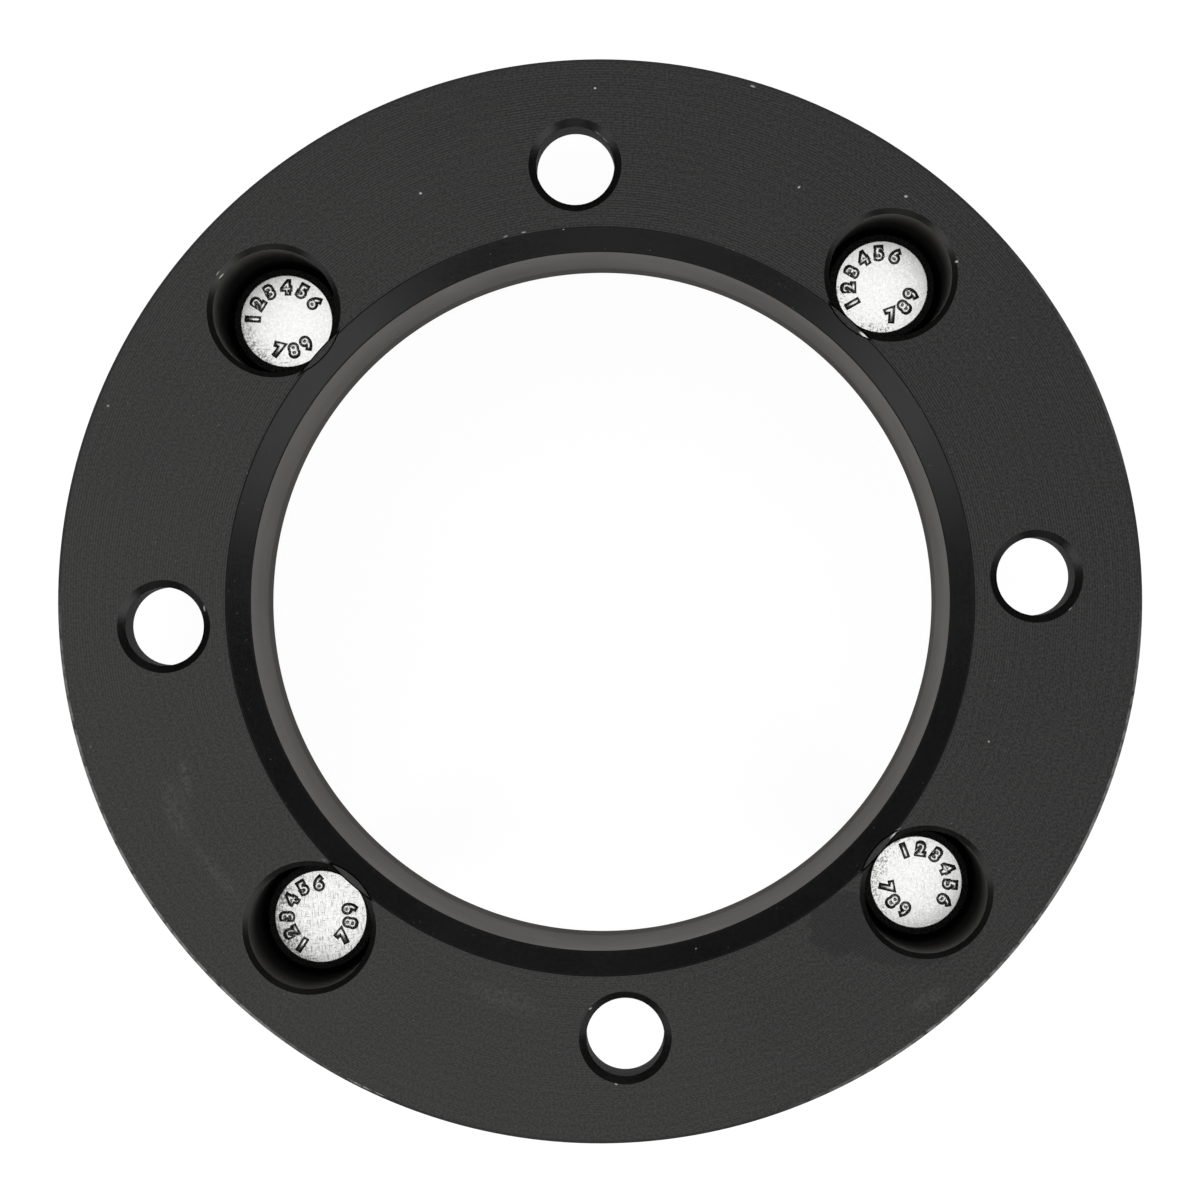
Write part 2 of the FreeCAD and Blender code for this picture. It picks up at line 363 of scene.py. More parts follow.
@dataclass(frozen=True)
class Anodised:
    """Black anodised aluminium with the lines of its cutting tool.

    Args:
        name: The material's name.
        lay: Which way the tool lines repeat.
        dark: The dye in the troughs.
        light: The dye on the crests.
        roughness: Middle roughness.
        specular: Strength of the gloss.
        pitch: Millimetres from one tool line to the next.
        depth: Millimetres from trough to crest.
        dust: Share of small bright grains.
        tint: Colour of the gloss.
        depth_shade: How much darker and duller the surface gets down its wall, as a share: painted shade deep
            in the hole.
        deep_end: Depth below the hub face where it is darkest, in millimetres.
        side_light: How much lighter the lower left side is painted, as painted light from the low lamp there.
        wiped: Patches where the dust is wiped off and the tool lines show.
        marks: Single marks, towards bare metal: nicks, dust and smears, and painted highlights on edges.
        glint_corners: Depths below the hub face of corners where broken lines of painted highlight are laid,
        in millimetres.
        rolled: Depths below the hub face of corners that are rolled dull, in millimetres.
        rim_highlights: Stretches of the top edge that are painted lighter, as painted highlights where it
            faces
        the low lamps: direction and half width in degrees, and how much.
        smudge: Half length in millimetres from which a mark is a smudge with a broken outline.
    """

    name: str
    lay: Lay
    dark: Colour
    light: Colour
    roughness: float
    specular: float
    pitch: float
    depth: float
    dust: float = 0.0
    tint: Colour = (1.0, 1.0, 1.0)
    depth_shade: float = 0.0
    deep_end: float = 38.1
    side_light: float = 0.0
    wiped: tuple[Mark, ...] = ()
    marks: tuple[Mark, ...] = ()
    glint_corners: tuple[float, ...] = ()
    rolled: tuple[float, ...] = ()
    rim_highlights: tuple[tuple[float, float, float], ...] = ()
    smudge: float = 1.8

    def worn(self, tree: Tree, colour: Socket) -> Socket:
        """Lay the single marks, the painted highlights along corners and the painted highlights on the rim's
        top edge over the colour.

        Args:
            tree: The material's tree.
            colour: The colour so far.

        Returns:
            The colour with its marks and painted highlights.
        """
        place = tree.place()
        x, y, z = tree.axes(place)
        smear = tree.noise(place, SMEAR_SCALE, 2.0, 0.7).fade(0.36, 0.62)
        # Marks lay nicks, dust and smears, and also painted highlights where edges would catch a lamp.
        for mark in self.marks:
            spot = mark.spot(tree)
            if mark.length > self.smudge:
                spot = spot * smear
            colour = tree.blend(spot * mark.strength, colour, BARE_METAL_AND_GLINT)
        # Painted highlights: broken bright lines along corners, where a rounded corner would catch a lamp.
        for corner in self.glint_corners:
            line = (z + corner * MM).size().fade(0.08 * MM, 0.03 * MM)
            broken = tree.noise(place, CORNER_SCALE, 2.0).fade(0.46, 0.62)
            colour = tree.blend(line * broken * 0.35, colour, PAINTED_GLINT_DYE)
        edge = z.fade(-1.1 * MM, -0.6 * MM) * tree.noise(place, RAGGED_SCALE, 2.0).fade(0.25, 0.6)
        # Painted highlights on the top edge of the rim, in the directions of the low lamps.
        for direction, half, strength in self.rim_highlights:
            angle, reach = math.radians(direction), math.radians(half)
            along = (x * math.cos(angle) + y * math.sin(angle)) / (x * x + y * y) ** 0.5
            rim_highlight = along.fade(math.cos(reach), math.cos(reach * 0.5)) * edge
            colour = tree.blend(rim_highlight * strength, colour, PAINTED_RIM_HIGHLIGHT)
        return colour

    def wiped_share(self, tree: Tree, place: Socket) -> Value:
        """Find how far each place is wiped clean.

        Args:
            tree: The material's tree.
            place: Where it is.

        Returns:
            1 in the wiped patches, which have a ragged outline, and 0 outside.
        """
        ragged = (tree.noise(place, RAGGED_SCALE, 2.0, 0.6) - 0.5) * 1.2
        clean = ragged * 0.0
        for mark in self.wiped:
            spot = mark.spot(tree)
            clean = clean.largest((spot + ragged * spot.fade(0.0, 0.1)).fade(0.12, 0.36) * mark.strength)
        return clean

    def dusted(self, tree: Tree, place: Socket, colour: Socket) -> Socket:
        """Scatter coarse and fine dust grains over the colour.

        Args:
            tree: The material's tree.
            place: Where it is.
            colour: The colour so far.

        Returns:
            The dusted colour.
        """
        coarse, fine = (420.0, 0.08, 0.04, 1.0, 0.8, 0.6), (1000.0, 0.12, 0.05, 6.0, 0.0, 0.22)
        for scale, outside, inside, start, full, strength in (coarse, fine):
            distance, chance = tree.cells(place, scale)
            share = chance.fade(1.0 - self.dust * start, 1.0 - self.dust * full)
            grains = distance.fade(outside, inside) * share
            colour = tree.blend(grains * strength, colour, DUST_GRAINS)
        return colour

    def material(self) -> bpy.types.Material:
        """Build the material.

        Returns:
            The finished material.
        """
        material, tree = new_material(self.name, self.light)
        place = tree.place()
        x, y, z = tree.axes(place)
        across = (x * x + y * y) ** 0.5 if self.lay is Lay.FACE else z
        cloud = tree.noise(place, CLOUD_SCALE, 3.0, 0.6)
        wander = tree.noise(place, WANDER_SCALE, 1.0)
        phase = across * (TURN / (self.pitch * MM)) + wander * 2.5
        lines = phase.wave() * 0.5 + 0.5
        second = (across * (TURN / (self.pitch * 3.7 * MM)) + cloud * 9.0).wave() * 0.5 + 0.5
        grain = tree.noise(place, GRAIN_SCALE, 2.0, 0.6).fade(0.30, 0.70)
        patch = tree.noise(place, PATCH_SCALE, 2.0).fade(0.42, 0.62)
        if self.side_light > 0:
            clean = self.wiped_share(tree, place)
            patch = patch - y.fade(12.0 * MM, -35.0 * MM) * 0.9 + clean * 1.3
        tone = (lines - 0.5) * (0.40 + patch * 0.40) + second * 0.10 + grain * 0.90
        tone = tone + (cloud - 0.5) * 0.22 - 0.04
        colour = tree.blend(tone.clamped(), self.dark, self.light)
        shine = self.roughness + (cloud - 0.5) * 0.16 + (grain - 0.5) * 0.08
        # Painted shade: the colour goes towards black down the wall, where shade falls in the bore and the
        # pockets.
        if self.depth_shade > 0:
            down = (z * (-1 / (self.deep_end * MM))).clamped() * self.depth_shade
            colour = tree.blend(down, colour, BLACK)
            shine = shine + down * 0.3
        for corner in self.rolled:
            shine = shine + (z + corner * MM).size().fade(0.16 * MM, 0.06 * MM) * 0.55
        if self.side_light > 0:
            # Painted light: the face is made lighter towards the lower left, where the low lamp falls on it.
            lower_left = (x * -0.85 + y * -0.53) * (1 / (85.0 * MM)) + (cloud - 0.5) * 0.7
            colour = tree.blend(lower_left.fade(-0.8, 1.1) * self.side_light, colour, PAINTED_SIDE_LIGHT)
            colour = tree.blend(clean * 0.45, colour, BLACK)
        if self.dust > 0:
            colour = self.dusted(tree, place, colour)
        colour = self.worn(tree, colour)
        relief = lines * 0.7 + second * 0.2 + grain * 0.3
        tree.surface(
            Base_Color=colour, Roughness=shine, Specular_IOR_Level=self.specular,
            Specular_Tint=(*self.tint, 1.0), Normal=tree.bump(relief, self.depth * MM),
        )
        return material


@dataclass(frozen=True)
class Steel:
    """Plated or oiled steel.

    Args:
        name: The material's name.
        bright: Colour of the clean metal.
        dull: Colour where it is stained.
        roughness: Middle roughness.
        stain: Share of the surface that is stained.
        scratch: Strength of the fine scratches.
        depth: Millimetres of the forged unevenness.
        centre: Axis of the piece in millimetres.
        worn_side: Direction of the dullest side in degrees.
        radius: From the axis to the worn edge in millimetres.
    """

    name: str
    bright: Colour
    dull: Colour
    roughness: float
    stain: float
    scratch: float
    depth: float
    centre: Point = (0.0, 0.0)
    worn_side: float = 0.0
    radius: float = 7.4

    def edge_wear(self, tree: Tree) -> Value:
        """Find how near a place is to the dull part of the edge.

        Args:
            tree: The material's tree.

        Returns:
            0 far from it, 1 at the dullest side of the edge.
        """
        x, y, _ = tree.axes(tree.place(offset=(-self.centre[0] * MM, -self.centre[1] * MM, 0.0)))
        side = math.radians(self.worn_side)
        reach = (x * math.cos(side) + y * math.sin(side)) * (1 / (self.radius * MM))
        rim = (x * x + y * y) ** 0.5 * (1 / (self.radius * MM))
        return (reach * 0.45 + rim * 0.55).fade(0.25, 1.0)

    def material(self) -> bpy.types.Material:
        """Build the material.

        Returns:
            The finished material.
        """
        material, tree = new_material(self.name, self.bright)
        place = tree.place()
        broad = tree.noise(place, FORGED_SCALE, 3.0, 0.6)
        fine = tree.noise(place, GRAIN_SCALE, 3.0, 0.7).fade(0.30, 0.70)
        pits = tree.noise(place, PIT_SCALE, 1.0).fade(0.60, 0.72)
        wear = self.edge_wear(tree)
        dulled = fine * 0.55 + wear * 0.5 + (broad - 0.5) * 0.8
        stains = dulled.fade(1.0 - self.stain * 0.8, 1.25 - self.stain * 0.8)
        drawn = tree.noise(tree.place(stretch=DRAWN_SCRATCHES), 1.0, 1.0)
        crossed = tree.noise(tree.place(stretch=CROSSED_SCRATCHES), 1.0, 1.0)
        scratches = drawn.fade(0.55, 0.68).largest(crossed.fade(0.60, 0.72)) * self.scratch
        specks = pits * (0.15 + wear * 0.6)
        dark = (stains * 0.75 + scratches * 0.5 + specks).clamped()
        colour = tree.blend(dark, self.bright, self.dull)
        shine = self.roughness + stains * 0.10 + (fine - 0.5) * 0.10 + scratches * 0.06
        relief = broad * 1.2 + fine * 0.25 + scratches * -0.3
        normal = tree.bump(relief, self.depth * MM)
        tree.surface(Base_Color=colour, Metallic=1.0, Roughness=shine, Normal=normal)
        return material


def as_mesh(bm: bmesh.types.BMesh, name: str = "part") -> bpy.types.Mesh:
    """Turn a finished bmesh into a mesh and free it.

    Args:
        bm: The bmesh.
        name: The mesh's name.

    Returns:
        The mesh.
    """
    mesh = bpy.data.meshes.new(name)
    bm.to_mesh(mesh)
    bm.free()
    return mesh


def shown(name: str, data: bpy.types.ID) -> bpy.types.Object:
    """Put new data into the scene.

    Args:
        name: The object's name.
        data: Its mesh, curve, lamp or camera.

    Returns:
        The object.
    """
    item = bpy.data.objects.new(name, data)
    bpy.context.scene.collection.objects.link(item)
    return item


class Mesh:
    """A bmesh under construction, in metres, with a material number for each zone."""

    def __init__(self) -> None:
        """Start empty."""
        self.bm = bmesh.new()

    def claim(self, zone: int) -> list[bmesh.types.BMFace]:
        """Give the faces made since the last call their material number.

        Args:
            zone: The number.

        Returns:
            Those faces.
        """
        fresh = [face for face in self.bm.faces if not face.tag]
        for face in fresh:
            face.tag = True
            face.material_index = zone
            face.smooth = True
        return fresh

    def turn(self, points: Sequence[Point], zone: int, steps: int, centre: Point = (0.0, 0.0),
             start: float = 0.0) -> None:
        """Turn a line of points a full circle about an upright axis.

        Args:
            points: Radius and height of each point, in millimetres.
            zone: The material number of what it makes.
            steps: Segments round the circle.
            centre: Where the axis stands, in millimetres.
            start: Angle of the first line, in radians.
        """
        cx, cy = centre[0] * MM, centre[1] * MM
        out = Vector((math.cos(start), math.sin(start)))
        bm = bmesh.new()
        verts = [bm.verts.new((cx + out.x * r * MM, cy + out.y * r * MM, z * MM)) for r, z in points]
        edges = [bm.edges.new(pair) for pair in zip(verts, verts[1:])]
        bmesh.ops.spin(bm, geom=verts + edges, cent=(cx, cy, 0.0), axis=(0.0, 0.0, 1.0), dvec=(0.0, 0.0, 0.0),
                       angle=TURN, steps=steps, use_merge=True, use_normal_flip=False, use_duplicate=False)
        self.add(as_mesh(bm), Matrix.Identity(4), zone)

    def flat(self, height: float, zone: int, up: float) -> None:
        """Fill a flat face between the open borders that lie at its height.

        Args:
            height: In millimetres.
            zone: The material number.
            up: 1 for a face that looks up, -1 for one that looks down.
        """
        level = height * MM
        edges = [edge for edge in self.bm.edges
                 if edge.is_boundary and all(abs(vert.co.z - level) < WELD for vert in edge.verts)]
        bmesh.ops.triangle_fill(self.bm, use_beauty=True, use_dissolve=False, edges=edges,
                                normal=(0.0, 0.0, up))
        for face in self.claim(zone):
            face.smooth = False

    def weld(self) -> None:
        """Join what meets and turn every face outwards."""
        bmesh.ops.remove_doubles(self.bm, verts=self.bm.verts[:], dist=WELD)
        bmesh.ops.dissolve_degenerate(self.bm, dist=WELD / 4, edges=self.bm.edges[:])
        bmesh.ops.recalc_face_normals(self.bm, faces=self.bm.faces[:])

    def sharpen(self, degrees: float) -> None:
        """Keep the shading crisp where faces meet at more than an angle.

        Args:
            degrees: The angle.
        """
        limit = math.radians(degrees)
        for edge in self.bm.edges:
            if len(edge.link_faces) == 2 and edge.calc_face_angle(0.0) > limit:
                edge.smooth = False

    def add(self, mesh: bpy.types.Mesh, matrix: Matrix, zone: int) -> None:
        """Add a finished mesh.

        Args:
            mesh: What is added. It is removed afterwards.
            matrix: Where it goes.
            zone: The material number.
        """
        mesh.transform(matrix)
        self.bm.from_mesh(mesh)
        bpy.data.meshes.remove(mesh)
        self.claim(zone)

    def piece(self, name: str, materials: Iterable[bpy.types.Material], slot: Slot) -> bpy.types.Object:
        """Finish the mesh as a piece that rides on the part.

        Args:
            name: The piece's name.
            materials: A material for each zone, in order.
            slot: The record's slot. It is not used.

        Returns:
            The object, at the origin.
        """
        mesh = as_mesh(self.bm, name)
        for material in materials:
            mesh.materials.append(material)
        item = shown(name, mesh)
        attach(item, BODY)
        return item


def rounded(corners: Sequence[tuple[float, float, float]], parts: int = 3) -> list[Point]:
    """Round the corners of a line.

    Args:
        corners: Across, up and corner radius of each corner. The first and last aren't rounded.
        parts: Segments of each small arc.

    Returns:
        The points of the line, with one close by each end of an arc to hold the shading.
    """
    points: list[Point] = [corners[0][:2]]
    for before, corner, after in zip(corners, corners[1:], corners[2:]):
        here = Vector(corner[:2])
        to_last, to_next = Vector(before[:2]) - here, Vector(after[:2]) - here
        if corner[2] <= 0:
            points.append(tuple(here))
            continue
        to_last.normalize()
        to_next.normalize()
        half = to_last.angle(to_next) / 2
        reach = corner[2] / math.tan(half)
        centre = here + (to_last + to_next).normalized() * (corner[2] / math.sin(half))
        start, end = here + to_last * reach, here + to_next * reach
        support = corner[2] * 0.5
        points.append(tuple(start + to_last * support))
        for step in range(parts + 1):
            spoke = (start - centre).lerp(end - centre, step / parts).normalized() * corner[2]
            points.append(tuple(centre + spoke))
        points.append(tuple(end + to_next * support))
    points.append(corners[-1][:2])
    return points


class Zone(Enum):
    """The zones of the ring, in the order of its materials."""

    FACE = 0
    RIM = 1
    LEAD_IN = 2
    BORE = 3
    BORE_END = 4
    CHAMFER = 5
    HOLE = 6
    POCKET = 7


@dataclass
class Ring:
    """The turned and drilled ring. All sizes in millimetres.

    Args:
        radius: Outside.
        thickness: From the hub face to the wheel face.
        edge_break: Of both outer edges.
        bore: Radius of the centre bore.
        lead_in: Chamfer of the bore at the hub face.
        bore_exit: Chamfer of the bore at the wheel face.
        bore_end: Depth at which the bore's finish turns darker and duller, as painted shade near the wheel
            face.
        circle: Radius through the centres of the holes.
        hub_hole: Radius of a hub hole.
        hub_chamfer: Chamfer of a hub hole.
        seat_depth: From the hub face to the small end of a nut seat.
        nut_pocket: Radius of a nut pocket.
        nut_chamfer: Chamfer of a nut pocket.
        pocket: Radius of a stud pocket.
        pocket_chamfer: Chamfer of a stud pocket.
        floor: Metal under a stud head.
        stud_hole: Radius of a stud hole.
        stud_chamfer: Chamfer of a stud hole.
        burr: Radius that is left on each edge.
        steps: Segments round the ring.
        hole_steps: Segments round a hole.
    """

    radius: float = 85.0
    thickness: float = 38.1
    edge_break: float = 0.5
    bore: float = 55.1
    lead_in: float = 3.7
    bore_exit: float = 1.0
    bore_end: float = 29.2
    circle: float = 68.5
    hub_hole: float = 6.15
    hub_chamfer: float = 1.15
    seat_depth: float = 9.8
    nut_pocket: float = 11.5
    nut_chamfer: float = 0.5
    pocket: float = 9.65
    pocket_chamfer: float = 0.85
    floor: float = 13.2
    stud_hole: float = 6.5
    stud_chamfer: float = 0.8
    burr: float = 0.09
    steps: int = 288
    hole_steps: int = 96

    def centres(self, first: float) -> list[Point]:
        """Centres of the four holes of a pattern whose first hole stands at this angle, in degrees."""
        angles = [math.radians(first + 90 * number) for number in range(4)]
        return [(self.circle * math.cos(angle), self.circle * math.sin(angle)) for angle in angles]

    def strips(self, corners: Sequence[tuple[float, float, Zone]], mesh: Mesh, steps: int,
               centre: Point) -> None:
        """Turn a line whose pieces belong to several zones.

        Args:
            corners: Radius, height and the zone of the piece that follows each corner.
            mesh: Where it goes.
            steps: Segments round the circle.
            centre: Where the axis stands.
        """
        line = rounded([(r, z, self.burr) for r, z, _ in corners])
        places = [Vector(corner[:2]) for corner in corners]
        zones = []
        for start, end in zip(line, line[1:]):
            middle = (Vector(start) + Vector(end)) / 2
            gaps = [self.gap(middle, first, last) for first, last in zip(places, places[1:])]
            zones.append(corners[gaps.index(min(gaps))][2])
        first, seam = 0, SEAM_TURN + abs(centre[0]) / SEAM_SPREAD
        for index in range(1, len(line)):
            if index == len(line) - 1 or zones[index] is not zones[first]:
                mesh.turn(line[first:index + 1], zones[first].value, steps, centre, seam)
                first = index

    @staticmethod
    def gap(point: Vector, start: Vector, end: Vector) -> float:
        """Measure the distance from a point to a straight piece of a line.

        Args:
            point: The point.
            start: Where the piece starts.
            end: Where it ends.

        Returns:
            The distance.
        """
        along = end - start
        share = max(0.0, min(1.0, (point - start).dot(along) / along.length_squared))
        return (point - start - along * share).length

    def build(self, materials: Sequence[bpy.types.Material]) -> bpy.types.Object:
        """Build the ring.

        Args:
            materials: One for each zone.

        Returns:
            The piece.
        """
        mesh = Mesh()
        low, origin, skirt = -self.thickness, (0.0, 0.0), self.burr * 3
        outer = self.radius - self.edge_break
        inner_top, inner_low = self.bore + self.lead_in, self.bore + self.bore_exit
        self.strips([
            (outer - skirt, 0.0, Zone.FACE), (outer, 0.0, Zone.RIM),
            (self.radius, -self.edge_break, Zone.RIM), (self.radius, low + self.edge_break, Zone.RIM),
            (outer, low, Zone.FACE), (outer - skirt, low, Zone.FACE),
        ], mesh, self.steps, origin)
        self.strips([
            (inner_top + skirt, 0.0, Zone.FACE), (inner_top, 0.0, Zone.LEAD_IN),
            (self.bore, -self.lead_in, Zone.BORE), (self.bore, -self.bore_end, Zone.BORE_END),
            (self.bore, low + self.bore_exit, Zone.BORE_END),
            (inner_low, low, Zone.FACE), (inner_low + skirt, low, Zone.FACE),
        ], mesh, self.steps, origin)
        hub_top, nut_low = self.hub_hole + self.hub_chamfer, self.nut_pocket + self.nut_chamfer
        seat_low = -self.seat_depth - (self.nut_pocket - self.hub_hole) / math.tan(NUT_SEAT_HALF_ANGLE)
        for centre in self.centres(0.0):
            self.strips([
                (hub_top + skirt, 0.0, Zone.FACE), (hub_top, 0.0, Zone.CHAMFER),
                (self.hub_hole, -self.hub_chamfer, Zone.HOLE), (self.hub_hole, -self.seat_depth, Zone.HOLE),
                (self.nut_pocket, seat_low, Zone.HOLE),
                (self.nut_pocket, low + self.nut_chamfer, Zone.CHAMFER), (nut_low, low, Zone.FACE),
                (nut_low + skirt, low, Zone.FACE),
            ], mesh, self.hole_steps, centre)
        pocket_top, stud_low = self.pocket + self.pocket_chamfer, self.stud_hole + self.stud_chamfer
        base = low + self.floor
        for centre in self.centres(45.0):
            self.strips([
                (pocket_top + skirt, 0.0, Zone.FACE), (pocket_top, 0.0, Zone.CHAMFER),
                (self.pocket, -self.pocket_chamfer, Zone.POCKET), (self.pocket, base, Zone.POCKET),
                (self.stud_hole, base, Zone.POCKET), (self.stud_hole, low + self.stud_chamfer, Zone.CHAMFER),
                (stud_low, low, Zone.FACE), (stud_low + skirt, low, Zone.FACE),
            ], mesh, self.hole_steps, centre)
        mesh.weld()
        mesh.flat(0.0, Zone.FACE.value, 1.0)
        mesh.flat(low, Zone.FACE.value, -1.0)
        mesh.weld()
        mesh.sharpen(50.0)
        piece = mesh.piece("ring_body", materials, Slot.RING)
        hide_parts("spacer_ring")
        return piece


@dataclass
class RaisedDigits:
    """Plain raised numbers on a stud head. All sizes in millimetres.

    Args:
        size: Size of the flat tops of the digits.
        bold: How far the flat tops are thickened.
        slope: Width of the sloped sides round them.
        relief: How far a digit stands above the head.
        long_row: Digits of the long row.
        short_row: Digits of the short row.
        arc_radius: From the axis to the middle of the digits of the long row.
        line_radius: The same for the short row.
        arc_step: Degrees from digit to digit of the long row.
        line_step: Degrees from digit to digit of the short row.
        weld: How close points of a digit are when they are joined.
    """

    size: float = 2.75
    bold: float = 0.03
    slope: float = 0.38
    relief: float = 0.30
    long_row: str = "123456"
    short_row: str = "789"
    arc_radius: float = 5.5
    line_radius: float = 4.9
    arc_step: float = 28.6
    line_step: float = 28.0
    weld: float = 0.0005

    def glyph(self, digit: str) -> bpy.types.Mesh:
        """Make one digit with sloped sides, centred on the origin and lying flat.

        Args:
            digit: Which one.

        Returns:
            Its closed mesh, in metres.
        """
        curve = bpy.data.curves.new("digit", "FONT")
        curve.body = digit
        curve.size = self.size
        curve.offset = self.bold
        curve.bevel_depth = self.slope
        curve.bevel_resolution = 0
        curve.resolution_u = 4
        item = shown("digit", curve)
        graph = bpy.context.evaluated_depsgraph_get()
        mesh = bpy.data.meshes.new_from_object(item.evaluated_get(graph))
        bpy.data.objects.remove(item)
        bpy.data.curves.remove(curve)
        bm = bmesh.new()
        bm.from_mesh(mesh)
        bpy.data.meshes.remove(mesh)
        bmesh.ops.remove_doubles(bm, verts=bm.verts[:], dist=self.weld)
        bmesh.ops.recalc_face_normals(bm, faces=bm.faces[:])
        spans = [[vert.co[axis] for vert in bm.verts] for axis in range(3)]
        middle = [(min(span) + max(span)) / 2 for span in spans]
        bmesh.ops.translate(bm, vec=-Vector(middle), verts=bm.verts[:])
        bmesh.ops.scale(bm, vec=(MM, MM, MM * self.relief / self.slope), verts=bm.verts[:])
        return as_mesh(bm)

    def glyphs(self) -> dict[str, bpy.types.Mesh]:
        """Make every digit once."""
        return {digit: self.glyph(digit) for digit in self.long_row + self.short_row}

    def stamp(self, mesh: Mesh, glyphs: dict[str, bpy.types.Mesh], zone: int, head: Matrix,
              middle: float, opposite: float) -> None:
        """Put both rows of digits on a head.

        Args:
            mesh: The stud's mesh.
            glyphs: The mesh of each digit.
            zone: The material number.
            head: Where the middle of the head's flat is.
            middle: Direction of the middle of the long row, in degrees.
            opposite: Direction of the middle of the short row, in degrees.
        """
        rows = (
            (self.long_row, self.arc_radius, middle, -self.arc_step, -90.0),
            (self.short_row, self.line_radius, opposite, self.line_step, 90.0),
        )
        for digits, radius, direction, step, facing in rows:
            for index, digit in enumerate(digits):
                angle = direction + (index - (len(digits) - 1) / 2) * step
                around = Matrix.Rotation(math.radians(angle), 4, "Z")
                out = Matrix.Translation((radius * MM, 0.0, 0.0))
                upright = Matrix.Rotation(math.radians(facing), 4, "Z")
                mesh.add(glyphs[digit].copy(), head @ around @ out @ upright, zone)


@dataclass
class Stud:
    """A press-in wheel stud. All sizes in millimetres, heights from the seat of the head.

    Args:
        head: Radius of the head.
        head_height: Thickness of the head.
        flat: Radius of the flat on top.
        drop: How far the sloped edge falls.
        serration_tip: Radius at the tips of the serrations.
        serration_root: Radius between them.
        serrations: How many.
        band: Length of the serrated band.
        neck: Radius of the bare neck.
        neck_end: Where the neck ends.
        crest: Outside radius of the thread.
        pitch: From one thread to the next.
        depth: Depth of the thread.
        sunk: How far the threaded shank reaches up into the neck.
        length: From the seat to the tip.
        tip: Chamfer at the tip.
        steps: Segments round the stud.
    """

    head: float = 8.575
    head_height: float = 5.0
    flat: float = 7.42
    drop: float = 0.8
    serration_tip: float = 6.5
    serration_root: float = 6.08
    serrations: int = 30
    band: float = 10.0
    neck: float = 5.4
    neck_end: float = 13.0
    crest: float = 6.0
    pitch: float = 1.5
    depth: float = 0.85
    sunk: float = 0.3
    length: float = 45.0
    tip: float = 0.9
    steps: int = 64

    def turn_head(self, mesh: Mesh) -> None:
        """Turn the head with its sloped edge.

        Args:
            mesh: Where it goes.
        """
        line = rounded([
            (0.0, self.head_height, 0.0), (self.flat, self.head_height, 0.16),
            (self.head, self.head_height - self.drop, 0.2), (self.head, 0.0, 0.15),
            (self.serration_root, 0.0, 0.0),
        ])
        mesh.turn(line, 0, self.serrations * 4)

    def cut_serrations(self, mesh: Mesh) -> None:
        """Turn the band and push every other pair of its lines in.

        Args:
            mesh: Where it goes.
        """
        before = set(mesh.bm.verts)
        count = self.serrations * 4
        mesh.turn([
            (self.serration_root, 0.0), (self.serration_tip, -0.02), (self.serration_tip, 0.5 - self.band),
            (self.serration_root, -self.band), (self.neck, -self.band), (self.neck, -self.neck_end),
            (0.0, -self.neck_end),
        ], 1, count)
        for vert in mesh.bm.verts:
            if vert in before or vert.co.xy.length < self.serration_tip * MM * 0.999:
                continue
            line = round(math.atan2(vert.co.y, vert.co.x) / TURN * count) % 4
            if line >= 2:
                vert.co.xy = vert.co.xy.normalized() * self.serration_root * MM

    def thread_turn(self) -> bpy.types.Mesh:
        """Sweep one tooth of the thread once round its helix.

        Returns:
            One open turn.
        """
        bm = bmesh.new()
        half, land, root = self.pitch / 2, self.pitch / 16, self.crest - self.depth
        tooth = [(root, half), (root, half - land * 1.6), (self.crest, land), (self.crest, -land),
                 (root, -half + land * 1.6), (root, -half)]
        verts = [bm.verts.new((r * MM, 0.0, z * MM)) for r, z in tooth]
        edges = [bm.edges.new(pair) for pair in zip(verts, verts[1:])]
        bmesh.ops.spin(bm, geom=verts + edges, cent=(0.0, 0.0, 0.0), axis=(0.0, 0.0, 1.0),
                       dvec=(0.0, 0.0, -self.pitch * MM / self.steps), angle=-TURN, steps=self.steps,
                       use_merge=False, use_normal_flip=False, use_duplicate=False)
        return as_mesh(bm)

    def cut_thread(self, mesh: Mesh) -> None:
        """Stack turns of the helix, trim both ends to the neck and the tip chamfer, and close them.

        Args:
            mesh: Where it goes.
        """
        bm = bmesh.new()
        turn = self.thread_turn()
        top, low = self.sunk - self.neck_end, -self.length
        for number in range(math.ceil((top - low) / self.pitch) + 3):
            copy = turn.copy()
            copy.transform(Matrix.Translation((0.0, 0.0, (top + self.pitch * (1 - number)) * MM)))
            bm.from_mesh(copy)
            bpy.data.meshes.remove(copy)
        bpy.data.meshes.remove(turn)
        bmesh.ops.remove_doubles(bm, verts=bm.verts[:], dist=WELD)
        for height, up in ((top, 1.0), (low, -1.0)):
            everything = bm.verts[:] + bm.edges[:] + bm.faces[:]
            bmesh.ops.bisect_plane(bm, geom=everything, dist=WELD / 10, plane_co=(0.0, 0.0, height * MM),
                                   plane_no=(0.0, 0.0, up), clear_outer=True)
        bmesh.ops.remove_doubles(bm, verts=bm.verts[:], dist=WELD)
        for vert in bm.verts:
            radius, z = vert.co.xy.length / MM, vert.co.z / MM
            limit = min(self.neck - self.sunk / 2 + (top - z), self.crest - self.tip + (z - low))
            if radius > limit:
                vert.co.xy = vert.co.xy * (limit / radius)
        bmesh.ops.holes_fill(bm, edges=[edge for edge in bm.edges if edge.is_boundary], sides=0)
        bmesh.ops.recalc_face_normals(bm, faces=bm.faces[:])
        mesh.add(as_mesh(bm), Matrix.Identity(4), 1)

    def blank(self) -> bpy.types.Mesh:
        """Make the stud without its digits.

        Returns:
            Its mesh.
        """
        mesh = Mesh()
        self.turn_head(mesh)
        self.cut_serrations(mesh)
        mesh.weld()
        self.cut_thread(mesh)
        mesh.sharpen(35.0)
        return as_mesh(mesh.bm, "stud_blank")

